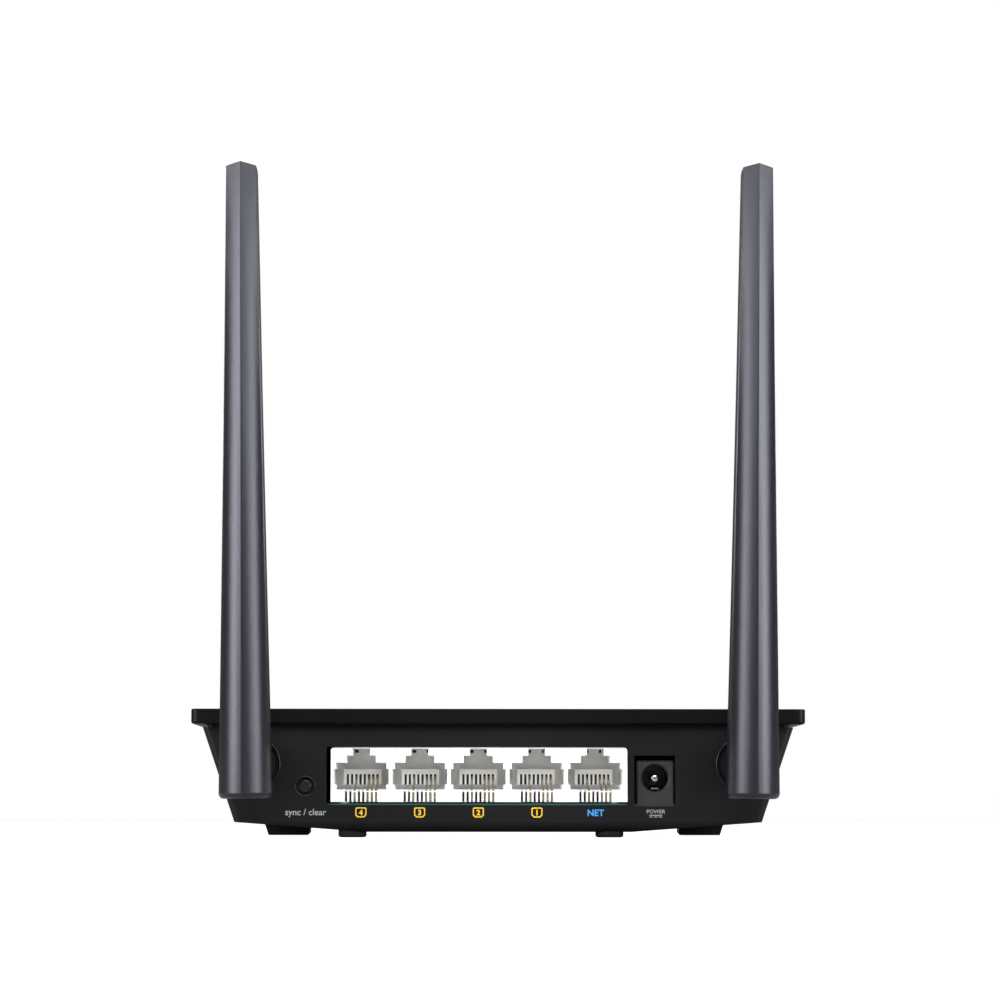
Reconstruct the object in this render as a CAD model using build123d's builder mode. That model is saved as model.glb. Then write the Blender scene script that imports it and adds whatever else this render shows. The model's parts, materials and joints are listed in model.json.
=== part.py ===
from build123d import *
import os
from math import atan, atan2, cos, hypot, radians, sin, tan

# A desktop wireless router with two hinged antennas at its back.
# +X is to the right for someone facing the connectors, +Y runs from the connectors
# to the status lights, +Z is up. The origin is on the floor, under the middle of the
# whole router's box, antennas included. All sizes are in millimetres.

# ---------------------------------------------------------------- driving dimensions
# Cover: a flat lid with a thick rim, wider than the case below it.
COVER_WIDTH = 146.4
COVER_DEPTH = 111.0
COVER_TOP = 30.5
COVER_PLATE = 2.0
COVER_CORNER = 1.8
RIM_HEIGHT = 3.6
SIDE_OVERHANG = 2.5
REAR_OVERHANG = 3.0
FRONT_OVERHANG = 3.0
SHADOW_GAP = 0.7

# Case: a tray whose walls lean out, with a shallow keel underneath.
WALL = 2.0
UNDERSIDE = 1.3
CREASE = 3.66
CREASE_HALF = 62.95
KEEL_HALF = 32.0
KEEL_BEVEL = 6.0
FRONT_SLANT = 7.0
CASE_CORNER = 1.6
TONGUE = 1.1
TONGUE_FIT = 0.2

# Antennas: five-sided sleeves, nearly round at the foot and sharp-ridged at the tip.
# Each section is (height above the fold axis, half width, ridge, shoulder, front,
# bulge of the two rear faces, ridge radius, shoulder radius, front radius).
HINGE_X = 58.74
HINGE_Z = 17.4
HINGE_REACH = 19.0
LEAN = 0.9
FOOT_SECTION = (-8.3, 6.12, 6.95, 1.25, 6.42, 1.3, 2.4, 4.0, 4.2)
WAIST_SECTION = (45.0, 5.08, 6.3, 2.2, 5.7, 0.75, 1.1, 1.6, 3.1)
TIP_SECTION = (140.5, 3.52, 5.0, 2.6, 4.4, 0.02, 0.25, 0.3, 1.2)
FOOT_EDGE = 1.2
TIP_DROP = 0.5
TIP_ROUND = 3.4
FORK_GAP = 6.5
EYELET_WIDTH = 6.2
EYELET_R = 4.6
FORK_R = 5.0
NECK_HALF = 3.7
SHANK_R = 4.0
DISC_R = 5.6
RECESS_R = 6.45
RECESS_DEPTH = 1.0
HINGE_PIN_R = 1.5
SLEEVE_BORE_R = 2.0
LEAD_R = 0.6
LEAD_PASSAGE_R = 1.1

# Network connectors: one housing with five openings, 13.97 mm apart.
PORT_PITCH = 13.97
FIRST_PORT_X = -32.74
PORT_NAMES = ("lan_4", "lan_3", "lan_2", "lan_1", "wan")
PORT_WINDOW = (-41.0, 31.0, 7.7, 21.5)
HOUSING_SIDES = (-40.0, 30.8)
HOUSING_TOP = 21.45
HOUSING_BOTTOM = 8.45
HOUSING_FOOT_R = 1.0
HOUSING_DEPTH = 16.0
HOUSING_CORNER = 0.9
HOUSING_RECESS = 0.4
RABBET_SKIN = 0.9
CAVITY_DEPTH = 12.0
CAVITY_WIDTH = 12.0
CAVITY_FLOOR = 11.4
CAVITY_CEILING = 17.8
LATCH_WIDTH = 6.9
LATCH_TOP = 19.5
TAB_WIDTH = 4.07
TAB_TOP = 21.15
GROOVE_BOTTOM = 12.6
GROOVE_TOP = 16.3
GROOVE_DEEP = 0.55
TRAY_DEPTH = 9.0
TRAY_HALF = 4.55
TRAY_BOTTOM = 12.7
TRAY_TOP = 16.4
CONTACT_PITCH = 1.02
CONTACT_WIDTH = 0.38
CONTACT_SLOT = 0.55
TRAY_SLOT_TOP = 15.2
TRAY_SLOT_DEPTH = 1.8
WIRED_CONTACTS = (3, 6, 7, 8)
COMB_DEPTH = 3.0

# Power inlet.
DC_WINDOW = (32.4, 42.2, 7.4, 19.5)
DC_X = 37.5
DC_Z = 14.15
DC_FACE_HALF = 4.5
DC_TOP = 18.4
DC_RECESS = 1.3
DC_LENGTH = 14.0
DC_HOLE_R = 3.15
DC_HOLE_DEPTH = 10.0
DC_PIN_R = 1.0
DC_PIN_LENGTH = 8.6
DC_PIN_ROOT_R = 0.6
DC_PIN_ROOT = 1.9
DC_LEAF_Z = 11.85
DC_SKIRT_BOTTOM = 7.44

# Reset button and its switch.
BUTTON_X = -46.05
BUTTON_Z = 12.2
BUTTON_R = 1.52
BUTTON_WELL_R = 2.25
BUTTON_WELL_DEPTH = 1.0
BUTTON_RECESS = 0.35
PLUNGER_R = 1.1
SWITCH_GAP = 3.0
SWITCH_SIZE = (6.0, 4.5, 7.2)

# Circuit board and the parts on it.
BOARD_TOP = 8.1
BOARD_THICK = 1.55
BOARD_HALF = 60.0
BOARD_FRONT = 50.0
LIGHT_COUNT = 6
LIGHT_PITCH = 8.0
LIGHT_Y = 46.0
LENS_SIZE = (4.0, 1.6)

# Feet.
RUBBER_FOOT_XS = (-35.1, 26.9)
RUBBER_FOOT_R = 3.4
RUBBER_FOOT_TALL = 2.0
RUBBER_FOOT_INSET = 9.0
RUBBER_FOOT_EDGE = 0.7
WEDGE_INNER = 50.2
WEDGE_OUTER = 61.4
WEDGE_SPREAD = 1.5
WEDGE_REAR = 48.0
WEDGE_DEEP = 7.0
WEDGE_TOP = 4.4

# Underside.
VENT_COUNT = 13
VENT_PITCH = 4.0
VENT_WIDTH = 1.8
VENT_LENGTH = 20.0
VENT_Y = -14.0
KEYHOLE_HALF_SPACING = 24.0
KEYHOLE_Y = 4.0
KEYHOLE_HEAD_R = 4.0
KEYHOLE_NECK_R = 2.1
KEYHOLE_RUN = 7.0
LABEL_SIZE = (42.0, 22.0)
LABEL_Y = 32.0
LABEL_THICK = 0.2

# Fasteners and clearances.
CASE_POSTS = ((50.0, -22.0), (-50.0, -22.0), (50.0, 44.0), (-50.0, 44.0))
BOARD_POSTS = ((52.0, -8.0), (-52.0, -8.0), (30.0, 44.0), (-30.0, 44.0))
POST_R = 4.6
POST_TOP = 14.0
HEAD_SEAT = 7.0
SCREW_R = 1.5
HEAD_R = 2.8
HEAD_TALL = 1.8
FIT = 0.05
SNUG = 0.02

# ------------------------------------------------------------------ derived positions
_, foot_half, foot_ridge, foot_shoulder, _, foot_bulge, foot_ridge_r, _, _ = FOOT_SECTION
foot_fall = foot_ridge - foot_shoulder
foot_turn = atan2(foot_fall, foot_half) - 2 * atan(2 * foot_bulge / hypot(foot_half, foot_fall))
ridge_reach = foot_ridge - foot_ridge_r * (1 / cos(foot_turn) - 1)
front_edge = (ridge_reach + HINGE_REACH - REAR_OVERHANG + COVER_DEPTH) / 2
rear_edge = front_edge - COVER_DEPTH
panel = rear_edge + REAR_OVERHANG
panel_inside = panel + WALL
hinge_y = panel - HINGE_REACH
cover_half = COVER_WIDTH / 2
rim_bottom = COVER_TOP - RIM_HEIGHT
case_top = rim_bottom - SHADOW_GAP
case_half = cover_half - SIDE_OVERHANG
case_front = front_edge - FRONT_OVERHANG
plate_bottom = COVER_TOP - COVER_PLATE
board_bottom = BOARD_TOP - BOARD_THICK
housing_middle = (HOUSING_SIDES[0] + HOUSING_SIDES[1]) / 2
housing_width = HOUSING_SIDES[1] - HOUSING_SIDES[0]
port_xs = [FIRST_PORT_X + PORT_PITCH * number for number in range(len(PORT_NAMES))]
housing_face = panel + HOUSING_RECESS
tray_face = housing_face + TRAY_DEPTH
dc_face = panel + DC_RECESS
boss_inside = panel_inside + 2.5
light_xs = [LIGHT_PITCH * (number - (LIGHT_COUNT - 1) / 2) for number in range(LIGHT_COUNT)]

os.makedirs("parts", exist_ok=True)


def rear_plane(y):
    """A plane at y facing the connector side, with sketch x along X and y along Z."""
    return Plane.XZ.offset(-y)


def save(piece, name):
    """Label a finished piece and write its STEP file."""
    piece.label = name
    export_step(piece, f"parts/{name}.step")


# ---------------------------------------------------------------------------- casing
with BuildPart() as bottom_case:
    with BuildSketch(rear_plane(case_front)):
        Polygon(
            (-KEEL_HALF, UNDERSIDE),
            (KEEL_HALF, UNDERSIDE),
            (CREASE_HALF, CREASE),
            (case_half, case_top),
            (-case_half, case_top),
            (-CREASE_HALF, CREASE),
            align=None,
        )
    extrude(amount=case_front - panel)
    with BuildSketch(Plane.YZ):
        Polygon(
            (panel + KEEL_BEVEL, UNDERSIDE),
            (case_front - FRONT_SLANT - KEEL_BEVEL, UNDERSIDE),
            (case_front - FRONT_SLANT, CREASE),
            (case_front, case_top),
            (panel, case_top),
            (panel, CREASE),
            align=None,
        )
    extrude(amount=cover_half, both=True, mode=Mode.INTERSECT)
    upright = [e for e in bottom_case.edges() if e.length > 20 and abs(e.tangent_at(0.5).Z) > 0.5]
    fillet(upright, CASE_CORNER)
    offset(amount=-WALL, openings=bottom_case.faces().sort_by(Axis.Z)[-1])
    # Locating tongue around the top, hidden inside the cover's rim.
    tongue_width = 2 * (case_half - TONGUE)
    tongue_depth = case_front - panel - 2 * TONGUE
    with BuildSketch(Plane((0, (case_front + panel) / 2, case_top - 0.4))):
        RectangleRounded(tongue_width, tongue_depth, 1.2)
        Rectangle(tongue_width - 1.8, tongue_depth - 1.8, mode=Mode.SUBTRACT)
    extrude(amount=plate_bottom - SNUG - case_top + 0.4)
    # Moulded wedge feet near the front corners.
    for side in (-1, 1):
        with BuildSketch(rear_plane(WEDGE_REAR + WEDGE_DEEP)):
            Polygon(
                (side * WEDGE_INNER, WEDGE_TOP),
                (side * WEDGE_INNER, 0.8),
                (side * (WEDGE_INNER + 0.8), 0),
                (side * WEDGE_OUTER, 0),
                (side * (WEDGE_OUTER + WEDGE_SPREAD), WEDGE_TOP),
                align=None,
            )
        extrude(amount=WEDGE_DEEP)
    # Screw posts for the cover and for the board.
    with BuildSketch(Plane.XY.offset(CREASE)):
        with Locations(*CASE_POSTS):
            Circle(POST_R)
    extrude(amount=POST_TOP - CREASE)
    with BuildSketch(Plane.XY.offset(UNDERSIDE + WALL - 0.5)):
        with Locations(*BOARD_POSTS):
            Circle(3.2)
    extrude(amount=board_bottom - UNDERSIDE - WALL + 0.5)
    with BuildSketch(Plane.XY):
        with Locations(*CASE_POSTS):
            Circle(HEAD_R + 0.3)
    extrude(amount=HEAD_SEAT, mode=Mode.SUBTRACT)
    with BuildSketch(Plane.XY):
        with Locations(*CASE_POSTS):
            Circle(SCREW_R + 0.1)
    extrude(amount=POST_TOP, mode=Mode.SUBTRACT)
    with BuildSketch(Plane.XY.offset(board_bottom)):
        with Locations(*BOARD_POSTS):
            Circle(1.15 + SNUG)
    extrude(amount=-2.6, mode=Mode.SUBTRACT)
    # Hinge recesses: a shallow round pocket, a boss inside and the bore for the shank.
    for side in (-1, 1):
        hinge = (side * HINGE_X, HINGE_Z)
        with BuildSketch(rear_plane(panel_inside - 0.5)):
            with Locations(hinge):
                Circle(RECESS_R + 1.6)
        extrude(amount=panel_inside - 0.5 - boss_inside)
        with BuildSketch(rear_plane(panel)):
            with Locations(hinge):
                Circle(RECESS_R)
        extrude(amount=-RECESS_DEPTH, mode=Mode.SUBTRACT)
        with BuildSketch(rear_plane(panel)):
            with Locations(hinge):
                Circle(SHANK_R + FIT)
        extrude(amount=panel - boss_inside - 1, mode=Mode.SUBTRACT)
    # Windows for the network connectors, the power inlet and the reset button.
    for left, right, low, high in (PORT_WINDOW, DC_WINDOW):
        with BuildSketch(rear_plane(panel)):
            with Locations(((left + right) / 2, (low + high) / 2)):
                Rectangle(right - left, high - low)
        extrude(amount=-WALL - 0.5, mode=Mode.SUBTRACT)
    with BuildSketch(rear_plane(panel + RABBET_SKIN)):
        with Locations((housing_middle, PORT_WINDOW[2] + 0.5)):
            Rectangle(housing_width + 1, 2.0, align=(Align.CENTER, Align.MAX))
    extrude(amount=RABBET_SKIN - WALL - 0.5, mode=Mode.SUBTRACT)
    with BuildSketch(rear_plane(panel)):
        with Locations((BUTTON_X, BUTTON_Z)):
            Circle(BUTTON_WELL_R)
    extrude(amount=-BUTTON_WELL_DEPTH, mode=Mode.SUBTRACT)
    with BuildSketch(rear_plane(panel)):
        with Locations((BUTTON_X, BUTTON_Z)):
            Circle(BUTTON_R + 0.1)
    extrude(amount=-WALL - 0.5, mode=Mode.SUBTRACT)
    # Underside: vents, wall-mount keyholes, label recess and pockets for rubber feet.
    with BuildSketch(Plane.XY):
        with Locations((0, VENT_Y)):
            with GridLocations(VENT_PITCH, 1, VENT_COUNT, 1):
                SlotOverall(VENT_LENGTH, VENT_WIDTH, rotation=90)
    extrude(amount=UNDERSIDE + WALL + 1, mode=Mode.SUBTRACT)
    for side in (-1, 1):
        with BuildSketch(Plane.XY):
            with Locations((side * KEYHOLE_HALF_SPACING, KEYHOLE_Y)):
                Circle(KEYHOLE_HEAD_R)
            with Locations((side * KEYHOLE_HALF_SPACING, KEYHOLE_Y + KEYHOLE_RUN / 2)):
                SlotCenterToCenter(KEYHOLE_RUN, 2 * KEYHOLE_NECK_R, rotation=90)
        extrude(amount=UNDERSIDE + WALL + 1, mode=Mode.SUBTRACT)
    with BuildSketch(Plane.XY):
        with Locations((0, LABEL_Y)):
            RectangleRounded(LABEL_SIZE[0] + 1, LABEL_SIZE[1] + 1, 2)
    extrude(amount=UNDERSIDE + LABEL_THICK, mode=Mode.SUBTRACT)
    with BuildSketch(Plane.XY):
        with Locations(*[(x, panel + RUBBER_FOOT_INSET) for x in RUBBER_FOOT_XS]):
            Circle(RUBBER_FOOT_R + FIT)
    extrude(amount=RUBBER_FOOT_TALL, mode=Mode.SUBTRACT)
save(bottom_case.part, "bottom_case")

with BuildPart() as top_cover:
    with BuildSketch(Plane((0, (front_edge + rear_edge) / 2, rim_bottom))):
        RectangleRounded(COVER_WIDTH, COVER_DEPTH, COVER_CORNER)
    extrude(amount=RIM_HEIGHT)
    fillet(top_cover.faces().sort_by(Axis.Z)[0].edges(), 0.6)
    fillet(top_cover.faces().sort_by(Axis.Z)[-1].edges(), 0.25)
    with BuildSketch(Plane((0, (case_front + panel) / 2, rim_bottom))):
        RectangleRounded(tongue_width + 2 * TONGUE_FIT, tongue_depth + 2 * TONGUE_FIT, 1.4)
    extrude(amount=plate_bottom - rim_bottom, mode=Mode.SUBTRACT)
    with BuildSketch(Plane.XY.offset(POST_TOP + SNUG)):
        with Locations(*CASE_POSTS):
            Circle(3.4)
    extrude(amount=plate_bottom - POST_TOP - SNUG + 0.5)
    with BuildSketch(Plane.XY.offset(POST_TOP)):
        with Locations(*CASE_POSTS):
            Circle(SCREW_R + SNUG)
    extrude(amount=10, mode=Mode.SUBTRACT)
    # Windows for the status lights.
    with BuildSketch(Plane.XY.offset(COVER_TOP)):
        with Locations(*[(x, LIGHT_Y) for x in light_xs]):
            RectangleRounded(LENS_SIZE[0] + 0.1, LENS_SIZE[1] + 0.1, 0.6)
    extrude(amount=-COVER_PLATE - 1, mode=Mode.SUBTRACT)
save(top_cover.part, "top_cover")

with BuildPart() as case_screws:
    for x, y in CASE_POSTS:
        with BuildSketch(Plane((x, y, HEAD_SEAT))):
            Circle(SCREW_R)
        extrude(amount=14)
        with BuildSketch(Plane((x, y, HEAD_SEAT))):
            Circle(HEAD_R)
        extrude(amount=-HEAD_TALL)
        with BuildSketch(Plane((x, y, HEAD_SEAT - HEAD_TALL))):
            Rectangle(0.7, 3.6)
            Rectangle(3.6, 0.7)
        extrude(amount=1.0, mode=Mode.SUBTRACT)
save(case_screws.part, "case_screws")

with BuildPart() as rubber_feet:
    with BuildSketch(Plane.XY):
        with Locations(*[(x, panel + RUBBER_FOOT_INSET) for x in RUBBER_FOOT_XS]):
            Circle(RUBBER_FOOT_R)
    extrude(amount=RUBBER_FOOT_TALL)
    fillet(rubber_feet.edges().filter_by(GeomType.CIRCLE).group_by(Axis.Z)[0], RUBBER_FOOT_EDGE)
save(rubber_feet.part, "rubber_feet")

with BuildPart() as rating_label:
    with BuildSketch(Plane((0, LABEL_Y, UNDERSIDE + 0.05))):
        RectangleRounded(*LABEL_SIZE, 1.5)
    extrude(amount=LABEL_THICK - 0.05)
save(rating_label.part, "rating_label")

# ------------------------------------------------------------------------ main board
with BuildPart() as main_board:
    with BuildSketch(Plane.XY.offset(board_bottom)):
        with Locations((0, (BOARD_FRONT + panel_inside + 0.3) / 2)):
            Rectangle(2 * BOARD_HALF, BOARD_FRONT - panel_inside - 0.3)
        # The board's edge reaches under the connectors, into the panel's rabbet.
        with Locations((housing_middle, panel + RABBET_SKIN + 0.1)):
            Rectangle(housing_width, WALL + 1, align=(Align.CENTER, Align.MIN))
        with Locations(*CASE_POSTS):
            Circle(POST_R + 0.7, mode=Mode.SUBTRACT)
        with Locations(*BOARD_POSTS):
            Circle(1.6, mode=Mode.SUBTRACT)
        with Locations(*[(side * (KEYHOLE_HALF_SPACING), KEYHOLE_Y) for side in (-1, 1)]):
            Circle(KEYHOLE_HEAD_R, mode=Mode.SUBTRACT)
    extrude(amount=BOARD_THICK)
save(main_board.part, "main_board")

with BuildPart() as board_screws:
    for x, y in BOARD_POSTS:
        with BuildSketch(Plane((x, y, BOARD_TOP))):
            Circle(1.15)
        extrude(amount=-3.6)
        with BuildSketch(Plane((x, y, BOARD_TOP))):
            Circle(2.4)
        extrude(amount=1.5)
        with BuildSketch(Plane((x, y, BOARD_TOP + 1.5))):
            Rectangle(0.6, 3.0)
            Rectangle(3.0, 0.6)
        extrude(amount=-0.8, mode=Mode.SUBTRACT)
save(board_screws.part, "board_screws")

# ---------------------------------------------------------------- network connectors
with BuildPart() as port_housing:
    with BuildSketch(rear_plane(housing_face)):
        with Locations((housing_middle, (HOUSING_BOTTOM + HOUSING_TOP) / 2)):
            Rectangle(housing_width, HOUSING_TOP - HOUSING_BOTTOM)
    extrude(amount=-HOUSING_DEPTH)
    top_corners = port_housing.edges().filter_by(Axis.Y).group_by(Axis.Z)[-1]
    fillet(top_corners, HOUSING_CORNER)
    for x in port_xs:
        with BuildSketch(rear_plane(housing_face)):
            with Locations((x, (CAVITY_FLOOR + CAVITY_CEILING) / 2)):
                Rectangle(CAVITY_WIDTH, CAVITY_CEILING - CAVITY_FLOOR)
            with Locations((x, (GROOVE_BOTTOM + GROOVE_TOP) / 2)):
                Rectangle(CAVITY_WIDTH + 2 * GROOVE_DEEP, GROOVE_TOP - GROOVE_BOTTOM)
            with Locations((x, (CAVITY_FLOOR + LATCH_TOP) / 2)):
                Rectangle(LATCH_WIDTH, LATCH_TOP - CAVITY_FLOOR)
            with Locations((x, (CAVITY_FLOOR + TAB_TOP) / 2)):
                Rectangle(TAB_WIDTH, TAB_TOP - CAVITY_FLOOR)
        extrude(amount=-CAVITY_DEPTH, mode=Mode.SUBTRACT)
        # Comb in the front lip, where the contacts bend.
        with BuildSketch(rear_plane(housing_face)):
            with Locations((x, (HOUSING_BOTTOM + CAVITY_FLOOR) / 2)):
                with GridLocations(CONTACT_PITCH, 1, 8, 1):
                    Rectangle(CONTACT_SLOT, CAVITY_FLOOR - HOUSING_BOTTOM)
        extrude(amount=-COMB_DEPTH, mode=Mode.SUBTRACT)
    # Feet that hold the housing just off the board.
    with BuildSketch(Plane.XY.offset(BOARD_TOP)):
        with Locations((housing_middle, housing_face + HOUSING_DEPTH / 2)):
            with GridLocations(housing_width - 6, HOUSING_DEPTH - 5, 2, 2):
                Circle(HOUSING_FOOT_R)
    extrude(amount=HOUSING_BOTTOM - BOARD_TOP)
save(port_housing.part, "port_housing")


def contact_tray(x):
    """The comb at the back of one opening that keeps the contacts' free ends apart."""
    with BuildPart() as tray:
        with BuildSketch(rear_plane(tray_face)):
            with Locations((x, (TRAY_BOTTOM + TRAY_TOP) / 2)):
                Rectangle(2 * TRAY_HALF, TRAY_TOP - TRAY_BOTTOM)
        extrude(amount=TRAY_DEPTH - CAVITY_DEPTH)
        with BuildSketch(rear_plane(tray_face)):
            with Locations((x, (TRAY_BOTTOM + TRAY_SLOT_TOP) / 2)):
                with GridLocations(CONTACT_PITCH, 1, 8, 1):
                    Rectangle(CONTACT_SLOT, TRAY_SLOT_TOP - TRAY_BOTTOM)
        extrude(amount=-TRAY_SLOT_DEPTH, mode=Mode.SUBTRACT)
    return tray.part


def contact_set(x):
    """Four sprung contacts, bent over the front lip and rising to the tray."""
    with BuildPart() as contacts:
        for position in WIRED_CONTACTS:
            contact_x = x + CONTACT_PITCH * (position - 4.5)
            with BuildSketch(Plane.YZ.offset(contact_x - CONTACT_WIDTH / 2)):
                with BuildLine():
                    FilletPolyline(
                        (housing_face + 0.9, HOUSING_BOTTOM + 0.2),
                        (housing_face + 0.9, 11.1),
                        (tray_face + 1.2, 14.6),
                        radius=0.6,
                    )
                trace(line_width=CONTACT_WIDTH)
            extrude(amount=CONTACT_WIDTH)
    return contacts.part


for name, x in zip(PORT_NAMES, port_xs):
    save(contact_tray(x), f"{name}_contact_tray")
    save(contact_set(x), f"{name}_contacts")

# ----------------------------------------------------------------------- power inlet
dc_rear = dc_face + DC_LENGTH
dc_floor = dc_face + DC_HOLE_DEPTH
with BuildPart() as dc_jack_body:
    with BuildSketch(rear_plane(dc_face)):
        with Locations((DC_X, (BOARD_TOP + DC_TOP) / 2)):
            Rectangle(2 * DC_FACE_HALF, DC_TOP - BOARD_TOP)
    extrude(amount=-DC_LENGTH)
    fillet(dc_jack_body.edges().filter_by(Axis.Y).group_by(Axis.Z)[-1], 0.5)
    with BuildSketch(rear_plane(dc_face)):
        with Locations((DC_X, DC_Z)):
            Circle(DC_HOLE_R)
    extrude(amount=-DC_HOLE_DEPTH, mode=Mode.SUBTRACT)
    chamfer(dc_jack_body.faces().sort_by(Axis.Y)[0].edges().filter_by(GeomType.CIRCLE), 0.35)
    # A skirt at the front covers the board's edge.
    with BuildSketch(rear_plane(dc_face)):
        with Locations((DC_X, BOARD_TOP)):
            Rectangle(2 * DC_FACE_HALF, BOARD_TOP - DC_SKIRT_BOTTOM, align=(Align.CENTER, Align.MAX))
    extrude(amount=dc_face - panel_inside - 0.2)
    with BuildSketch(rear_plane(dc_floor)):
        with Locations((DC_X, DC_Z)):
            Circle(DC_PIN_ROOT_R + SNUG)
        with Locations((DC_X, DC_LEAF_Z)):
            Rectangle(1.84, 0.46)
    extrude(amount=-DC_PIN_ROOT - 0.1, mode=Mode.SUBTRACT)
save(dc_jack_body.part, "dc_jack_body")

with BuildPart() as dc_centre_pin:
    with BuildSketch(rear_plane(dc_floor + DC_PIN_ROOT)):
        with Locations((DC_X, DC_Z)):
            Circle(DC_PIN_ROOT_R)
    extrude(amount=DC_PIN_ROOT)
    with BuildSketch(rear_plane(dc_floor)):
        with Locations((DC_X, DC_Z)):
            Circle(DC_PIN_R)
    extrude(amount=DC_PIN_LENGTH)
    fillet(dc_centre_pin.edges().group_by(Axis.Y)[0], 0.6)
save(dc_centre_pin.part, "dc_centre_pin")

with BuildPart() as dc_spring_contact:
    with BuildSketch(Plane.YZ.offset(DC_X - 0.9)):
        with BuildLine():
            FilletPolyline(
                (dc_floor + 1.8, DC_LEAF_Z),
                (dc_floor - 1.5, DC_LEAF_Z),
                (dc_floor - 4.8, DC_LEAF_Z + 0.55),
                (dc_floor - 7.6, DC_LEAF_Z - 0.15),
                radius=1.2,
            )
        trace(line_width=0.3)
    extrude(amount=1.8)
save(dc_spring_contact.part, "dc_spring_contact")

# ---------------------------------------------------------------------- reset button
switch_face = panel_inside + SWITCH_GAP
with BuildPart() as reset_button:
    with BuildSketch(rear_plane(switch_face - 1.2)):
        with Locations((BUTTON_X, BUTTON_Z)):
            Circle(BUTTON_R)
    extrude(amount=switch_face - 1.2 - panel - BUTTON_RECESS)
    fillet(reset_button.edges().group_by(Axis.Y)[0], 0.3)
    with BuildSketch(rear_plane(panel_inside + 0.02)):
        with Locations((BUTTON_X, BUTTON_Z)):
            Circle(2.6)
    extrude(amount=-0.9)
save(reset_button.part, "reset_button")

with BuildPart() as reset_switch_plunger:
    with BuildSketch(rear_plane(switch_face - 1.2)):
        with Locations((BUTTON_X, BUTTON_Z)):
            Circle(PLUNGER_R)
    extrude(amount=-2.2)
save(reset_switch_plunger.part, "reset_switch_plunger")

with BuildPart() as reset_switch:
    with BuildSketch(Plane((BUTTON_X, switch_face + SWITCH_SIZE[1] / 2, BOARD_TOP))):
        Rectangle(*SWITCH_SIZE[:2])
    extrude(amount=SWITCH_SIZE[2])
    with BuildSketch(rear_plane(switch_face)):
        with Locations((BUTTON_X, BUTTON_Z)):
            Circle(PLUNGER_R + FIT)
    extrude(amount=-2.0, mode=Mode.SUBTRACT)
save(reset_switch.part, "reset_switch")

# ----------------------------------------------------------------- parts on the board
CHIPS = {
    "main_chip": (0, 10, 14, 14, 1.4),
    "memory_chip": (-22, 16, 10, 20, 1.2),
    "flash_chip": (20, 16, 8, 5.3, 1.9),
    "lan_transformer": (-20, -16, 26, 12, 5.6),
    "wan_transformer": (18, -16, 13, 10, 5.6),
    "power_inductor": (38, -10, 7, 7, 4.2),
    "radio_shield": (0, 32, 26, 16, 3.2),
    "clock_crystal": (18, 3, 11, 4.6, 3.6),
}
for name, (x, y, width, depth, tall) in CHIPS.items():
    with BuildPart() as chip:
        with BuildSketch(Plane((x, y, BOARD_TOP))):
            RectangleRounded(width, depth, 0.4 if name != "clock_crystal" else 2.2)
        extrude(amount=tall)
        chamfer(chip.faces().sort_by(Axis.Z)[-1].edges(), 0.2)
    save(chip.part, name)

with BuildPart() as capacitors:
    for x, y, radius, tall in ((36, 2, 3.15, 11), (44, 2, 3.15, 11), (40, 12, 4.0, 11.5)):
        with BuildSketch(Plane((x, y, BOARD_TOP))):
            Circle(radius)
        extrude(amount=tall)
        chamfer(capacitors.edges().filter_by(GeomType.CIRCLE).group_by(Axis.Z)[-1], 0.3)
save(capacitors.part, "capacitors")

with BuildPart() as status_lights:
    with BuildSketch(Plane.XY.offset(BOARD_TOP)):
        with Locations(*[(x, LIGHT_Y) for x in light_xs]):
            Rectangle(1.6, 0.8)
    extrude(amount=0.6)
save(status_lights.part, "status_lights")

with BuildPart() as light_guide:
    with BuildSketch(Plane.XY.offset(BOARD_TOP + 1.0)):
        with Locations(*[(x, LIGHT_Y) for x in light_xs]):
            RectangleRounded(*LENS_SIZE, 0.55)
    extrude(amount=COVER_TOP - BOARD_TOP - 1.0)
    with BuildSketch(Plane((0, LIGHT_Y, plate_bottom - 2.5))):
        Rectangle(light_xs[-1] - light_xs[0] + 6, 3.0)
    extrude(amount=2.4)
save(light_guide.part, "light_guide")

# -------------------------------------------------------------------------- antennas


def corner_radii(points):
    """For each inner point of a lead's route, the largest arc its two runs allow."""
    radii = []
    for before, here, after in zip(points, points[1:], points[2:]):
        run_in = Vector(*here) - Vector(*before)
        run_out = Vector(*after) - Vector(*here)
        half_turn = radians(run_in.get_angle(run_out)) / 2
        radii.append(0.45 * min(run_in.length, run_out.length) / tan(half_turn))
    return radii


def lead(points):
    """A round coaxial lead along straight runs joined by arcs."""
    with BuildPart() as coax:
        with BuildLine() as route:
            FilletPolyline(*points, radius=corner_radii(points))
        start = route.line @ 0
        with BuildSketch(Plane(start, z_dir=route.line % 0)):
            Circle(LEAD_R)
        sweep(path=route.line)
    return coax.part


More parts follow.
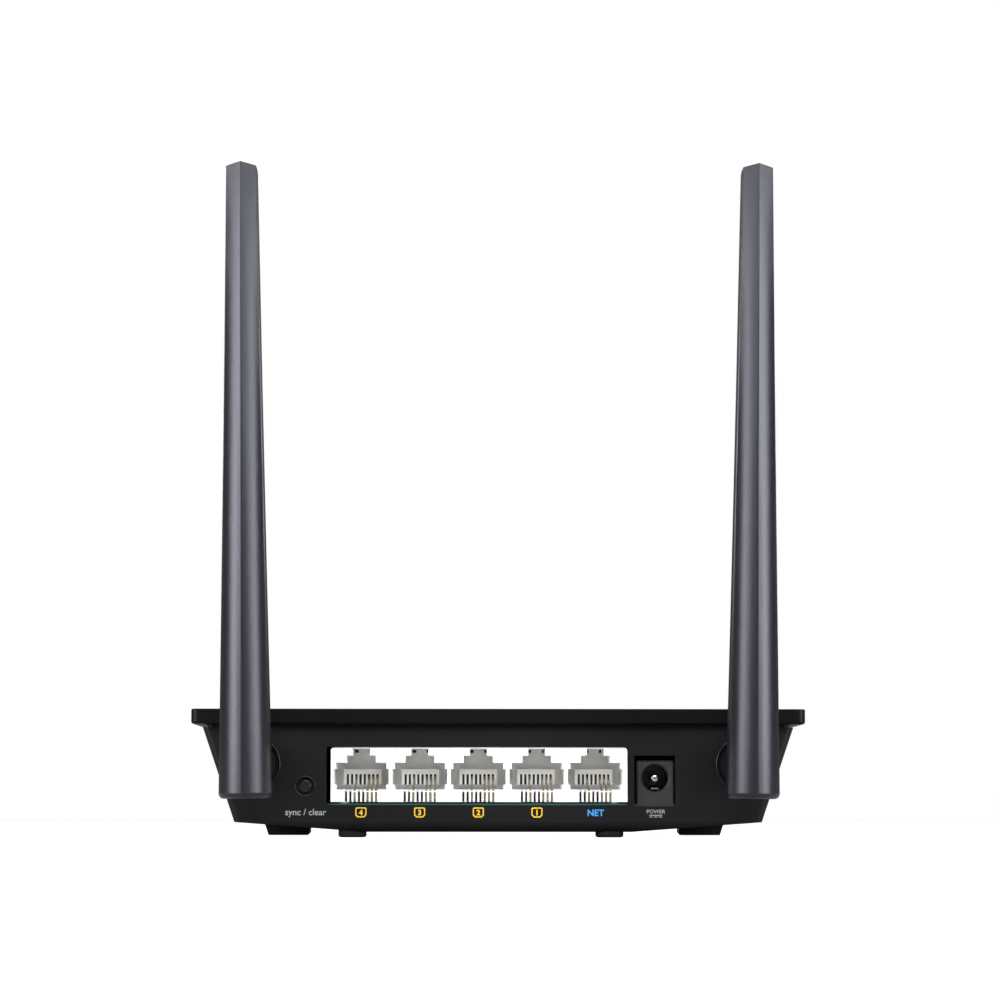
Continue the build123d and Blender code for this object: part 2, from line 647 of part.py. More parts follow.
def antenna(side, prefix):
    """All pieces of one antenna; side is -1 for the left one and +1 for the right."""
    tilt = radians(LEAN)
    stand = Plane(
        (side * HINGE_X, hinge_y, HINGE_Z),
        x_dir=(cos(tilt), 0, -side * sin(tilt)),
        z_dir=(side * sin(tilt), 0, cos(tilt)),
    )
    across = Plane(stand.origin, x_dir=stand.y_dir, z_dir=stand.x_dir)
    back = Plane(stand.origin, x_dir=stand.x_dir, z_dir=-stand.y_dir)
    tip, _, tip_ridge, tip_shoulder, tip_front, _, _, _, _ = TIP_SECTION

    with BuildPart() as sleeve:
        for measures in (FOOT_SECTION, WAIST_SECTION, TIP_SECTION):
            height, half, ridge, shoulder, front, bulge, ridge_r, shoulder_r, front_r = measures
            with BuildSketch(stand.offset(height)) as section:
                with BuildLine():
                    SagittaArc((0, -ridge), (half, -shoulder), -bulge)
                    Polyline((half, -shoulder), (half, front), (-half, front), (-half, -shoulder))
                    SagittaArc((-half, -shoulder), (0, -ridge), -bulge)
                make_face()
                corners = section.vertices().sort_by(Axis.Y)
                fillet(corners[0], ridge_r)
                fillet(section.vertices().sort_by(Axis.Y)[2:4], shoulder_r)
                fillet(section.vertices().sort_by(Axis.Y)[-2:], front_r)
        loft()
        fillet(sleeve.edges().filter_by(lambda edge: edge.center().Z < HINGE_Z - 7.9), FOOT_EDGE)
        # The tip slopes down from its ridge and is rounded towards the router.
        with BuildSketch(across):
            with BuildLine():
                Polyline(
                    (tip_front - TIP_ROUND, tip - TIP_DROP),
                    (-tip_shoulder, tip - TIP_DROP),
                    (-tip_ridge, tip),
                    (-tip_ridge - 3, tip),
                    (-tip_ridge - 3, tip + 3),
                    (tip_front + 3, tip + 3),
                    (tip_front + 3, tip - TIP_DROP - TIP_ROUND),
                    (tip_front + 0.15, tip - TIP_DROP - TIP_ROUND),
                )
                RadiusArc(
                    (tip_front - TIP_ROUND, tip - TIP_DROP),
                    (tip_front + 0.15, tip - TIP_DROP - TIP_ROUND),
                    TIP_ROUND + 0.1,
                )
            make_face()
        extrude(amount=8, both=True, mode=Mode.SUBTRACT)
        # Fork for the knuckle: open to the front and downwards.
        with BuildSketch(across):
            Circle(FORK_R)
            with Locations((-NECK_HALF - 0.2, NECK_HALF + 0.2)):
                Rectangle(20, 20, align=(Align.MIN, Align.MAX))
        extrude(amount=FORK_GAP / 2, both=True, mode=Mode.SUBTRACT)
        with BuildSketch(stand):
            Circle(SLEEVE_BORE_R)
        extrude(amount=tip - 7, mode=Mode.SUBTRACT)
        with BuildSketch(across.offset(-FORK_GAP / 2 - 1.9)):
            Circle(HINGE_PIN_R)
        extrude(amount=FORK_GAP + 3.8, mode=Mode.SUBTRACT)
    save(sleeve.part, f"{prefix}_antenna_sleeve")

    with BuildPart() as hinge_pins:
        for way in (-1, 1):
            with BuildSketch(across.offset(way * (FORK_GAP / 2 + 1.9))):
                Circle(HINGE_PIN_R)
            extrude(amount=-way * 3.8)
    save(hinge_pins.part, f"{prefix}_hinge_pins")

    with BuildPart() as radiator:
        with BuildSketch(stand.offset(66)):
            Circle(1.9)
            Circle(1.4, mode=Mode.SUBTRACT)
        extrude(amount=30)
        with BuildSketch(stand.offset(98)):
            Circle(LEAD_R)
        extrude(amount=30)
    save(radiator.part, f"{prefix}_radiator")

    with BuildPart() as antenna_lead:
        with BuildSketch(stand.offset(6)):
            Circle(LEAD_R)
        extrude(amount=92)
    save(antenna_lead.part, f"{prefix}_antenna_lead")

    with BuildPart() as lead_bush:
        with BuildSketch(stand.offset(8)):
            Circle(SLEEVE_BORE_R - SNUG)
            Circle(LEAD_R + SNUG, mode=Mode.SUBTRACT)
        extrude(amount=6)
    save(lead_bush.part, f"{prefix}_lead_bush")

    recess_floor = HINGE_REACH + RECESS_DEPTH
    shank_end = HINGE_REACH + 9.2
    groove_at = boss_inside - hinge_y + 0.5
    with BuildPart() as knuckle:
        with BuildSketch(back.offset(-shank_end)):
            Circle(SHANK_R)
        extrude(amount=shank_end - recess_floor + 0.5)
        with BuildSketch(back.offset(-recess_floor + SNUG)):
            Circle(DISC_R)
        extrude(amount=RECESS_DEPTH + 0.8)
        # Neck from the disc to the eyelet that sits in the antenna's fork.
        with BuildSketch(across):
            Circle(EYELET_R)
            with BuildLine():
                Polyline(
                    (0, NECK_HALF),
                    (8.5, NECK_HALF),
                    (HINGE_REACH - 0.5, DISC_R - 0.6),
                    (HINGE_REACH - 0.5, -DISC_R + 0.6),
                    (8.5, -NECK_HALF),
                    (0, -NECK_HALF),
                    close=True,
                )
            make_face()
        extrude(amount=EYELET_WIDTH / 2, both=True)
        with BuildSketch(across.offset(-EYELET_WIDTH / 2)):
            Circle(HINGE_PIN_R + FIT)
        extrude(amount=2.1, mode=Mode.SUBTRACT)
        with BuildSketch(across.offset(EYELET_WIDTH / 2)):
            Circle(HINGE_PIN_R + FIT)
        extrude(amount=-2.1, mode=Mode.SUBTRACT)
        # Passage for the coaxial lead, open at the top of the eyelet.
        with BuildSketch(back.offset(-shank_end)):
            Circle(LEAD_PASSAGE_R)
        extrude(amount=shank_end - 3, mode=Mode.SUBTRACT)
        with BuildSketch(across):
            with Locations((-1.4, -LEAD_PASSAGE_R)):
                Rectangle(5, 8, align=(Align.MIN, Align.MIN))
        extrude(amount=0.9, both=True, mode=Mode.SUBTRACT)
        # Groove for the retaining clip.
        with BuildSketch(back.offset(-groove_at - 0.9)):
            Circle(SHANK_R + 1)
            Circle(3.3, mode=Mode.SUBTRACT)
        extrude(amount=0.9, mode=Mode.SUBTRACT)
    save(knuckle.part, f"{prefix}_knuckle")

    with BuildPart() as spring_washer:
        with BuildSketch(back.offset(-groove_at + SNUG)):
            Circle(6.4)
            Circle(SHANK_R + FIT, mode=Mode.SUBTRACT)
        extrude(amount=0.5 - 2 * SNUG)
    save(spring_washer.part, f"{prefix}_spring_washer")

    with BuildPart() as retaining_clip:
        with BuildSketch(back.offset(-groove_at - 0.9 + SNUG)):
            Circle(5.8)
            Circle(3.32, mode=Mode.SUBTRACT)
            with Locations((0, -5)):
                Rectangle(4.4, 6, mode=Mode.SUBTRACT)
        extrude(amount=0.9 - 2 * SNUG)
    save(retaining_clip.part, f"{prefix}_retaining_clip")

    route = [
        (side * HINGE_X, hinge_y + shank_end - 2, HINGE_Z),
        (side * HINGE_X, -20, HINGE_Z),
        (side * 57.5, -8, 15.0),
        (side * 54, 3, 11.5),
        (side * 49, 13, 9.6),
        (side * 42.5, 20, 9.0),
        (side * 34.72, 20, 9.0),
    ]
    save(lead(route), f"{prefix}_board_lead")
    with BuildPart() as lead_socket:
        with BuildSketch(Plane((side * 33, 20, BOARD_TOP))):
            Rectangle(3.4, 3.4)
        extrude(amount=1.8)
    save(lead_socket.part, f"{prefix}_lead_socket")


antenna(-1, "left")
antenna(1, "right")
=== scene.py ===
import json
import math

import bmesh
import bpy
from mathutils import Matrix, Vector


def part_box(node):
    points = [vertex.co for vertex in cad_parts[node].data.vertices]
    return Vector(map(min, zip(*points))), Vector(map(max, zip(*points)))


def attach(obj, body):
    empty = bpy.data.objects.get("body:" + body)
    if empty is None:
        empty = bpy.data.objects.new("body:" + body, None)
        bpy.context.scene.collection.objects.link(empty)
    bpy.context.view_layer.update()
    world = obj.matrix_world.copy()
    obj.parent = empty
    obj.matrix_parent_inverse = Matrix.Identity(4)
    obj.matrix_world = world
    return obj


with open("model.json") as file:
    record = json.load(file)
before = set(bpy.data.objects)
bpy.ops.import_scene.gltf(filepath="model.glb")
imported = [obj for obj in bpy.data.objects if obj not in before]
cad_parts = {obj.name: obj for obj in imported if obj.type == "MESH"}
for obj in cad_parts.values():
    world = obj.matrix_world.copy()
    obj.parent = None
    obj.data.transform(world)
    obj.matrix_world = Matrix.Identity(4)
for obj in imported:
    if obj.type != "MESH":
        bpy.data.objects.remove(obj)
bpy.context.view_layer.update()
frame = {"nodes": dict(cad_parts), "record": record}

MM = 0.001
NODES = frame["nodes"]

# ---------------------------------------------------------------- places from the frame
panel_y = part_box("bottom_case")[0].y     # outer face of the rear panel

# ---------------------------------------------------------------------------- materials
BROAD_CELLS = 60.0                       # per metre, for colour that wanders over a piece
NOISE_LOW, NOISE_HIGH = 0.3, 0.7         # the range that noise mostly stays in
TINT_LOW, TINT_HIGH = 0.35, 0.65
GLOSS_WANDER = 0.05
SCRATCH_CELL = 0.0004
SCRATCH_DEPTH = 2e-6


def shader(name, color, roughness, **sockets):
    """A new material with its Principled shader's plain values set on its own sockets."""
    material = bpy.data.materials.new(name)
    material.use_nodes = True
    principled = material.node_tree.nodes["Principled BSDF"]
    principled.inputs["Base Color"].default_value = (*color, 1)
    principled.inputs["Roughness"].default_value = roughness
    for socket, value in sockets.items():
        principled.inputs[socket.replace("_", " ")].default_value = value
    return material, principled


def noise(material, scale, detail=2.0, roughness=0.5):
    """Noise over the piece's own coordinates, in cells per metre."""
    nodes, links = material.node_tree.nodes, material.node_tree.links
    place = nodes.new("ShaderNodeTexCoord")
    texture = nodes.new("ShaderNodeTexNoise")
    texture.inputs["Scale"].default_value = scale
    texture.inputs["Detail"].default_value = detail
    texture.inputs["Roughness"].default_value = roughness
    links.new(place.outputs["Object"], texture.inputs["Vector"])
    return texture.outputs["Fac"]


def spread(material, value, low, high):
    """Maps noise to a range, for a socket that varies over the surface."""
    nodes, links = material.node_tree.nodes, material.node_tree.links
    mapped = nodes.new("ShaderNodeMapRange")
    mapped.inputs["From Min"].default_value = NOISE_LOW
    mapped.inputs["From Max"].default_value = NOISE_HIGH
    mapped.inputs["To Min"].default_value = low
    mapped.inputs["To Max"].default_value = high
    links.new(value, mapped.inputs["Value"])
    return mapped.outputs["Result"]


def grain(material, principled, height, depth):
    """Bump of that depth in metres from a height field."""
    nodes, links = material.node_tree.nodes, material.node_tree.links
    bump = nodes.new("ShaderNodeBump")
    bump.inputs["Strength"].default_value = 1.0
    bump.inputs["Distance"].default_value = depth
    links.new(height, bump.inputs["Height"])
    links.new(bump.outputs["Normal"], principled.inputs["Normal"])


def tint(material, principled, value, dark, light):
    """Base colour that wanders a little between two colours."""
    nodes, links = material.node_tree.nodes, material.node_tree.links
    ramp = nodes.new("ShaderNodeValToRGB")
    ramp.color_ramp.elements[0].position = TINT_LOW
    ramp.color_ramp.elements[0].color = (*dark, 1)
    ramp.color_ramp.elements[1].position = TINT_HIGH
    ramp.color_ramp.elements[1].color = (*light, 1)
    links.new(value, ramp.inputs["Fac"])
    links.new(ramp.outputs["Color"], principled.inputs["Base Color"])


def moulded(name, color, roughness, cell, depth, wander=0.12, **sockets):
    """Moulded plastic: fine spark-eroded grain, slightly uneven colour and gloss."""
    material, principled = shader(name, color, roughness, **sockets)
    fine = noise(material, 1 / cell, 3.0, 0.6)
    broad = noise(material, BROAD_CELLS)
    grain(material, principled, fine, depth)
    dark = [c * (1 - wander) for c in color]
    light = [c * (1 + wander) for c in color]
    tint(material, principled, broad, dark, light)
    rough = spread(material, fine, roughness - GLOSS_WANDER, roughness + GLOSS_WANDER)
    material.node_tree.links.new(rough, principled.inputs["Roughness"])
    return material


def metal(name, color, roughness):
    """Plated or drawn metal with faint scratches."""
    material, principled = shader(name, color, roughness, Metallic=1.0)
    scratch = noise(material, 1 / SCRATCH_CELL, 4.0, 0.7)
    grain(material, principled, scratch, SCRATCH_DEPTH)
    rough = spread(material, scratch, roughness * 0.8, roughness * 1.2)
    material.node_tree.links.new(rough, principled.inputs["Roughness"])
    return material


FINISH = {
    "case_plastic": moulded("case_plastic", (0.0072, 0.0073, 0.0082), 0.38, 0.00035, 9e-6,
                            Specular_IOR_Level=0.17),
    "cover_plastic": moulded("cover_plastic", (0.0024, 0.0023, 0.0028), 0.40, 0.00025, 6e-7,
                             Specular_IOR_Level=0.12),
    "antenna_plastic": moulded("antenna_plastic", (0.0062, 0.0064, 0.0086), 0.325, 0.00028, 1.6e-5,
                               Specular_IOR_Level=0.58, Specular_Tint=(0.86, 0.87, 1.0, 1)),
    "knuckle_plastic": moulded("knuckle_plastic", (0.010, 0.010, 0.011), 0.22, 0.0005, 3e-6),
    "button_plastic": moulded("button_plastic", (0.008, 0.008, 0.009), 0.25, 0.0005, 3e-6),
    "switch_plastic": moulded("switch_plastic", (0.02, 0.02, 0.02), 0.5, 0.0005, 3e-6),
    "port_plastic": moulded("port_plastic", (0.94, 0.94, 0.93), 0.38, 0.0006, 3e-6, 0.02),
    "tray_plastic": moulded("tray_plastic", (0.91, 0.91, 0.89), 0.42, 0.0006, 3e-6, 0.03),
    "jack_plastic": moulded("jack_plastic", (0.020, 0.021, 0.023), 0.40, 0.0004, 4e-6),
    "label_film": moulded("label_film", (0.55, 0.56, 0.57), 0.35, 0.0008, 2e-6, 0.03),
    "rubber": moulded("rubber", (0.014, 0.014, 0.014), 0.75, 0.0005, 1.5e-5),
    "circuit_board": moulded("circuit_board", (0.014, 0.090, 0.070), 0.35, 0.0010, 4e-6),
    "chip_epoxy": moulded("chip_epoxy", (0.02, 0.02, 0.02), 0.55, 0.0004, 5e-6),
    "ferrite": moulded("ferrite", (0.05, 0.05, 0.055), 0.6, 0.0006, 8e-6),
    "led_resin": moulded("led_resin", (0.75, 0.78, 0.60), 0.3, 0.0005, 2e-6),
    "clear_plastic": moulded("clear_plastic", (0.60, 0.66, 0.70), 0.30, 0.0005, 3e-6, 0.03),
    "lead_jacket": moulded("lead_jacket", (0.05, 0.05, 0.05), 0.45, 0.0006, 4e-6),
    "contact_gold": metal("contact_gold", (0.66, 0.58, 0.42), 0.24),
    "plated_metal": metal("plated_metal", (0.72, 0.72, 0.73), 0.22),
    "steel": metal("steel", (0.50, 0.50, 0.51), 0.32),
    "can_metal": metal("can_metal", (0.62, 0.62, 0.62), 0.35),
    "brass": metal("brass", (0.65, 0.48, 0.22), 0.30),
}


def finish_of(piece, slot):
    """Gives a piece the material made for that slot of the record."""
    piece.data.materials.clear()
    piece.data.materials.append(FINISH[slot])


for part in frame["record"]["subparts"]:
    finish_of(NODES[part["node"]], part["material_slot"])

# ------------------------------------------------------------------------- extra pieces
# Sizes in this section are in millimetres, and every extra piece rides on the case.
PRINT_ROW_Z = 5.95                       # middle of the row of prints
PRINT_THICK = 0.03
CAP_SHARE = 0.70                         # height of a capital in the font's size
FRAME_HALF_WIDTH = 1.32
FRAME_HALF_HEIGHT = 1.2
FRAME_CORNER = 0.55
FRAME_LINE = 0.27
INNER_CORNER_SHRINK = 0.4
UPPER_CORNER_SHARE = 0.45                # the frame's upper corners are cut less
DIGIT_CAP = 1.25
DIGIT_WEIGHT = 0.06
SYMBOL_HALF = 1.55
SYMBOL_DROP = 1.15                       # from the row's middle to the dashes' lower edge
BAR_LOW, BAR_HIGH = 0.4, 0.6             # above the dashes' lower edge
DASH_PITCH = 1.12
DASH_HALF = 0.4
DASH_TALL = 0.18

SOCKETS = ("lan_4", "lan_3", "lan_2", "lan_1", "wan")
POSITIONS = 8
WIRED = (3, 6, 7, 8)                     # the positions that have a contact
CONTACT_PITCH = 1.02
SLOT_HALF = 0.27
SLOT_BACK = 1.8                          # from the tray's face
# Black blocks of painted shade at the back of each slot: deep behind a contact, shallow in an empty
# slot.
SHADE_BEHIND_CONTACT = 1.55
SHADE_IN_EMPTY_SLOT = 0.35
SHADE_TOP_GAP = 1.2
SHADE_BOTTOM_GAP = 0.02
# Black blocks of painted shade in the comb's slots.
COMB_SHADE_FRONT, COMB_SHADE_BACK = 1.6, 2.98        # from the housing's face
COMB_SHADE_TALL = 2.2
# Black blocks of painted shade in two small openings at the top of the latch's slot.
LATCH_HOLE_SHADES = ((-1.55, 0.46), (1.75, 0.26))    # place from the socket's middle, half width
LATCH_HOLE_TOP = 21.13
LATCH_HOLE_TALL = 0.72
LATCH_HOLE_FRONT, LATCH_HOLE_BACK = 0.1, 0.01  # before the back wall

LIP_STEPS = 96
HINGE_LIP = ((6.46, 0.2), (6.46, -0.05), (6.52, -0.12), (6.66, -0.12), (6.82, 0.02))
BUTTON_LIP = ((2.26, 0.2), (2.26, -0.04), (2.3, -0.08), (2.4, -0.08), (2.5, 0.02))


def keep(name, bm, slot, material=None):
    """Links a finished mesh as a piece that rides on the case."""
    bmesh.ops.recalc_face_normals(bm, faces=bm.faces)
    mesh = bpy.data.meshes.new(name)
    bm.to_mesh(mesh)
    bm.free()
    piece = bpy.data.objects.new(name, mesh)
    bpy.context.scene.collection.objects.link(piece)
    finish_of(piece, slot)
    if material:
        piece.data.materials[0] = material
    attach(piece, "case")
    return piece


def middle_x(node):
    """The middle of a node's box from left to right."""
    low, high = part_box(node)
    return (low.x + high.x) / 2 / MM


def block(bm, low, high):
    """A block between two corners."""
    made = bmesh.ops.create_cube(bm, size=1)
    centre = [(a + b) / 2 * MM for a, b in zip(low, high)]
    size = [(b - a) * MM for a, b in zip(low, high)]
    bmesh.ops.scale(bm, vec=size, verts=made["verts"])
    bmesh.ops.translate(bm, vec=centre, verts=made["verts"])


def turned(name, node, profile, slot):
    """A ring around a node's axis along Y: profile points are radius and depth in the panel."""
    low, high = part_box(node)
    centre_x, centre_z = (low.x + high.x) / 2, (low.z + high.z) / 2
    bm = bmesh.new()
    rows = []
    for radius, depth in profile:
        row = []
        for step in range(LIP_STEPS):
            angle = 2 * math.pi * step / LIP_STEPS
            x = centre_x + radius * MM * math.cos(angle)
            z = centre_z + radius * MM * math.sin(angle)
            row.append(bm.verts.new((x, panel_y + depth * MM, z)))
        rows.append(row)
    for row, following in zip(rows, rows[1:] + rows[:1]):
        for step in range(LIP_STEPS):
            ahead = (step + 1) % LIP_STEPS
            bm.faces.new((row[step], row[ahead], following[ahead], following[step]))
    piece = keep(name, bm, slot)
    for face in piece.data.polygons:
        face.use_smooth = True


def outline_plate(bm, rings, front, back):
    """A flat plate between two closed outlines in X and Z, the second one the hole."""
    sides = []
    for depth in (front, back):
        sides.append([[bm.verts.new((x * MM, depth, z * MM)) for x, z in ring] for ring in rings])
    (outer, inner), (outer_back, inner_back) = sides
    count = len(outer)
    for step in range(count):
        ahead = (step + 1) % count
        bm.faces.new((outer[step], outer[ahead], inner[ahead], inner[step]))
        bm.faces.new((outer_back[step], outer_back[ahead], inner_back[ahead], inner_back[step]))
        bm.faces.new((outer[step], outer[ahead], outer_back[ahead], outer_back[step]))
        bm.faces.new((inner[step], inner[ahead], inner_back[ahead], inner_back[step]))


def ink(name, color):
    """Screen print: matt, almost even colour."""
    return moulded(name, color, 0.5, 0.0002, 1e-6, 0.04)


INK_YELLOW = ink("ink_yellow", (0.80, 0.50, 0.020))
INK_BLUE = ink("ink_blue", (0.048, 0.31, 0.76))
INK_GREY = ink("ink_grey", (0.30, 0.30, 0.30))

# Height of the capitals, thickening of the strokes, and shift from the row's middle.
PRINTED_WORDS = {
    "print_net": dict(text="NET", under="wan_contact_tray", ink=INK_BLUE,
                      cap=1.5, weight=0.05, aside=0, up=-0.05),
    "print_sync": dict(text="sync / clear", under="reset_button", ink=INK_GREY,
                       cap=1.5, weight=0.02, aside=0.15, up=0.1),
    "print_power": dict(text="POWER", under="dc_jack_body", ink=INK_GREY,
                        cap=0.9, weight=0.012, aside=0, up=0.25),
}


def words(name, text, x, z, cap, material, weight):
    """Flat print on the rear panel, centred at x and z, with capitals of that height."""
    curve = bpy.data.curves.new(name, "FONT")
    curve.body = text
    curve.size = cap * MM / CAP_SHARE
    curve.offset = weight * MM
    curve.align_x = "CENTER"
    curve.extrude = PRINT_THICK / 2 * MM
    curve.resolution_u = 6
    holder = bpy.data.objects.new(name + "_curve", curve)
    bpy.context.scene.collection.objects.link(holder)
    bpy.context.view_layer.update()
    mesh = bpy.data.meshes.new_from_object(holder)
    bpy.data.objects.remove(holder)
    upright = Matrix.Rotation(math.radians(90), 4, "X")
    place = Matrix.Translation((x * MM, panel_y - PRINT_THICK / 2 * MM, (z - cap / 2) * MM))
    bm = bmesh.new()
    bm.from_mesh(mesh)
    bmesh.ops.remove_doubles(bm, verts=bm.verts, dist=1e-7)
    bm.transform(place @ upright)
    bpy.data.meshes.remove(mesh)
    keep(name, bm, "label_film", material)


def socket_number(digit):
    """A digit in a little frame like a plug seen from its end."""
    x = middle_x(f"lan_{digit}_contact_tray")
    rings = []
    for inset in (0, FRAME_LINE):
        w, h = FRAME_HALF_WIDTH - inset, FRAME_HALF_HEIGHT - inset
        c = FRAME_CORNER - inset * INNER_CORNER_SHRINK
        top = c * UPPER_CORNER_SHARE
        ring = [(-w + c, -h), (w - c, -h), (w, -h + c), (w, h - top)]
        ring += [(w - top, h), (-w + top, h), (-w, h - top), (-w, -h + c)]
        rings.append([(x + dx, PRINT_ROW_Z + dz) for dx, dz in ring])
    bm = bmesh.new()
    outline_plate(bm, rings, panel_y - PRINT_THICK * MM, panel_y)
    keep(f"print_frame_{digit}", bm, "label_film", INK_YELLOW)
    words(f"print_digit_{digit}", digit, x, PRINT_ROW_Z, DIGIT_CAP, INK_YELLOW, DIGIT_WEIGHT)


def direct_current_symbol():
    """A bar over three dashes."""
    middle = middle_x("dc_jack_body")
    face = panel_y / MM
    front = face - PRINT_THICK
    low = PRINT_ROW_Z - SYMBOL_DROP
    bm = bmesh.new()
    block(bm, (middle - SYMBOL_HALF, front, low + BAR_LOW), (middle + SYMBOL_HALF, face, low + BAR_HIGH))
    for step in (-1, 0, 1):
        at = middle + step * DASH_PITCH
        block(bm, (at - DASH_HALF, front, low), (at + DASH_HALF, face, low + DASH_TALL))
    keep("print_dc_symbol", bm, "label_film", INK_GREY)


def panel_prints():
    """Generic marks under the connectors: digits, short words and the symbol for d.c."""
    for digit in "4321":
        socket_number(digit)
    for name, word in PRINTED_WORDS.items():
        x = middle_x(word["under"]) + word["aside"]
        z = PRINT_ROW_Z + word["up"]
        words(name, word["text"], x, z, word["cap"], word["ink"], word["weight"])
    direct_current_symbol()


def slot_shade_blocks(port):
    """Black blocks of painted shade at the back of a socket's slots, behind where the contacts lie, and
    in its comb's slots.
    """
    low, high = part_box(f"{port}_contact_tray")
    middle = middle_x(f"{port}_contact_tray")
    face, back = low.y / MM, high.y / MM
    bottom, top = low.z / MM + SHADE_BOTTOM_GAP, high.z / MM - SHADE_TOP_GAP
    housing_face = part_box("port_housing")[0].y / MM
    comb_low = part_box(f"{port}_contacts")[0].z / MM
    bm = bmesh.new()
    for position in range(1, POSITIONS + 1):
        x = middle + CONTACT_PITCH * (position - (POSITIONS + 1) / 2)
        left, right = x - SLOT_HALF, x + SLOT_HALF
        deep = SHADE_BEHIND_CONTACT if position in WIRED else SHADE_IN_EMPTY_SLOT
        block(bm, (left, face + deep, bottom), (right, face + SLOT_BACK, top))
        # Painted shade in the comb's slot in front of this position.
        block(bm, (left, housing_face + COMB_SHADE_FRONT, comb_low),
              (right, housing_face + COMB_SHADE_BACK, comb_low + COMB_SHADE_TALL))
    # Two black blocks of painted shade in small openings in the back wall at the top of the latch's
    # slot.
    for shift, half in LATCH_HOLE_SHADES:
        x = middle + shift
        block(bm, (x - half, back - LATCH_HOLE_FRONT, LATCH_HOLE_TOP - LATCH_HOLE_TALL),
              (x + half, back - LATCH_HOLE_BACK, LATCH_HOLE_TOP))
    # The blocks take the dark switch finish; they are painted shade, not a part of the socket.
    keep(f"{port}_slot_shade_blocks", bm, "switch_plastic")


panel_prints()
# Painted shade blocks in every socket.
for port in SOCKETS:
    slot_shade_blocks(port)

# Raised lips around the hinge recesses and the button's well.
for side in ("left", "right"):
    turned(f"{side}_hinge_lip", f"{side}_spring_washer", HINGE_LIP, "knuckle_plastic")
turned("button_lip", "reset_switch_plunger", BUTTON_LIP, "knuckle_plastic")

# ------------------------------------------------------------------------ stage and light
# Metres and degrees.
EYE_DISTANCE = 0.62                      # from the rear panel's face
EYE_HEIGHT = 0.0047
EYE_SIDE = -0.0076
PITCH = 5.68
YAW = -0.733
ROLL = 0.03
LENS = 93.3                              # millimetres, like the sensor's width
SENSOR = 36
SHIFT_UP = 0.06
NEAREST = 0.01

FLOOR_HALF = 6
FLOOR_GLOW = 0.97                        # what the camera sees without any light on the floor
FLOOR_SEEN = 0.3                         # what light and shadow add to that
FLOOR_BOUNCE = 0.4                       # what the floor gives back to the router
SURROUND = 0.02                          # light from all around

SIDE_LIGHT = dict(x=0.33, y=-0.20, z=0.09, size=(0.14, 0.38), power=1.25)
FRONT_LIGHT = dict(x=0.78, y=-0.70, z=0.20, size=(0.4, 0.4), power=2.4)
FAR_LIGHT = dict(x=0.7, y=0.8, z=0.5, size=(0.6, 0.6), power=4)
UPPER_LIGHT = dict(x=0, y=-0.75, z=0.52, size=(0.8, 0.3), power=6.2)
OVERHEAD_LIGHT = dict(x=0, y=0.15, z=0.9, size=(0.8, 0.8), power=6)
HINGES = (0, panel_y - 0.02, 0.06)
COVER = (0, 0, 0.03)
ORIGIN = (0, 0, 0)


def camera():
    """At table height behind the router, looking slightly up at the connectors."""
    data = bpy.data.cameras.new("camera")
    data.lens = LENS
    data.sensor_width = SENSOR
    data.shift_y = SHIFT_UP
    data.clip_start = NEAREST
    data.dof.use_dof = False
    eye = bpy.data.objects.new("camera", data)
    bpy.context.scene.collection.objects.link(eye)
    place = Matrix.Translation((EYE_SIDE, panel_y - EYE_DISTANCE, EYE_HEIGHT))
    turn = Matrix.Rotation(math.radians(YAW), 4, "Z")
    tip = Matrix.Rotation(math.radians(90 + PITCH), 4, "X")
    roll = Matrix.Rotation(math.radians(ROLL), 4, "Z")
    eye.matrix_world = place @ turn @ tip @ roll
    bpy.context.scene.camera = eye


def softbox(name, light, target, side=1):
    """A rectangular area light that the camera doesn't see, on the side that is given."""
    data = bpy.data.lights.new(name, "AREA")
    data.shape = "RECTANGLE"
    data.size, data.size_y = light["size"]
    data.energy = light["power"]
    lamp = bpy.data.objects.new(name, data)
    bpy.context.scene.collection.objects.link(lamp)
    place = Vector((side * light["x"], light["y"], light["z"]))
    lamp.location = place
    lamp.rotation_euler = (Vector(target) - place).to_track_quat("-Z", "Y").to_euler()
    lamp.visible_camera = False


def lights():
    """Softboxes on either side, in front and far, one high in front and one overhead."""
    for side, name in ((-1, "left"), (1, "right")):
        softbox(f"{name}_softbox", SIDE_LIGHT, HINGES, side)
        softbox(f"{name}_far_softbox", FAR_LIGHT, COVER, side)
        softbox(f"{name}_front_softbox", FRONT_LIGHT, HINGES, side)
    softbox("upper_front", UPPER_LIGHT, HINGES)
    softbox("overhead", OVERHEAD_LIGHT, ORIGIN)


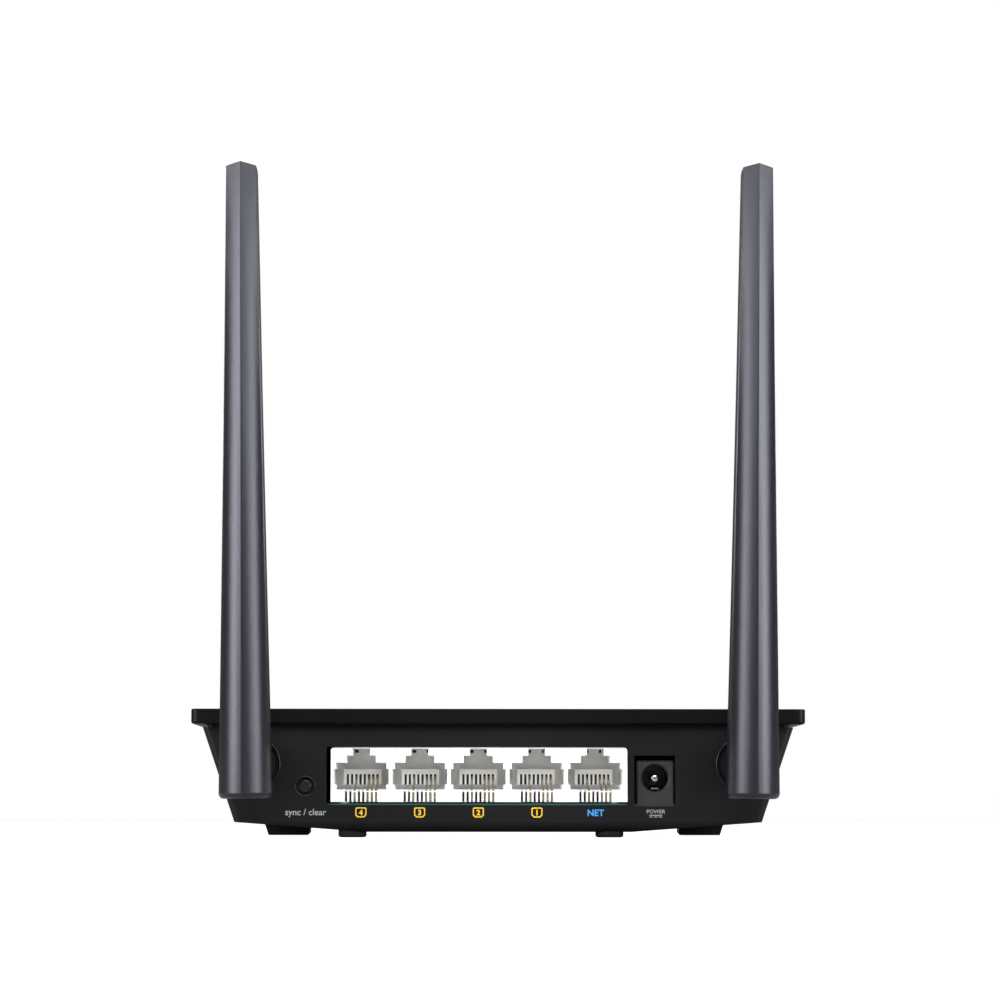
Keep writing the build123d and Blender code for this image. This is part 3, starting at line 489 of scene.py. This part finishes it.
def camera_only(tree, seen, lit, output):
    """Mixes two shaders: one for what the camera sees, one for the light that bounces."""
    mix = tree.nodes.new("ShaderNodeMixShader")
    path = tree.nodes.new("ShaderNodeLightPath")
    tree.links.new(path.outputs["Is Camera Ray"], mix.inputs["Fac"])
    tree.links.new(lit, mix.inputs[1])
    tree.links.new(seen, mix.inputs[2])
    tree.links.new(mix.outputs["Shader"], output.inputs["Surface"])


def floor():
    """A plain white floor that stays pale under the router, with a faint shadow."""
    bm = bmesh.new()
    bmesh.ops.create_grid(bm, x_segments=1, y_segments=1, size=FLOOR_HALF)
    mesh = bpy.data.meshes.new("floor")
    bm.to_mesh(mesh)
    bm.free()
    ground = bpy.data.objects.new("floor", mesh)
    bpy.context.scene.collection.objects.link(ground)
    material, principled = shader("floor_white", (FLOOR_BOUNCE,) * 3, 0.9, Specular_IOR_Level=0.0)
    tree = material.node_tree
    glow = tree.nodes.new("ShaderNodeEmission")
    glow.inputs["Strength"].default_value = FLOOR_GLOW
    pale = tree.nodes.new("ShaderNodeBsdfDiffuse")
    pale.inputs["Color"].default_value = (FLOOR_SEEN, FLOOR_SEEN, FLOOR_SEEN, 1)
    both = tree.nodes.new("ShaderNodeAddShader")
    tree.links.new(glow.outputs[0], both.inputs[0])
    tree.links.new(pale.outputs[0], both.inputs[1])
    camera_only(tree, both.outputs[0], principled.outputs[0], tree.nodes["Material Output"])
    ground.data.materials.append(material)


def backdrop():
    """A white surround for the camera that adds only a little light."""
    world = bpy.data.worlds.new("studio")
    world.use_nodes = True
    tree = world.node_tree
    dim = tree.nodes["Background"]
    dim.inputs["Color"].default_value = (1, 1, 1, 1)
    dim.inputs["Strength"].default_value = SURROUND
    white = tree.nodes.new("ShaderNodeBackground")
    white.inputs["Color"].default_value = (1, 1, 1, 1)
    white.inputs["Strength"].default_value = 1.0
    camera_only(tree, white.outputs[0], dim.outputs[0], tree.nodes["World Output"])
    bpy.context.scene.world = world


camera()
floor()
backdrop()
lights()
bpy.context.scene.view_settings.view_transform = "Standard"
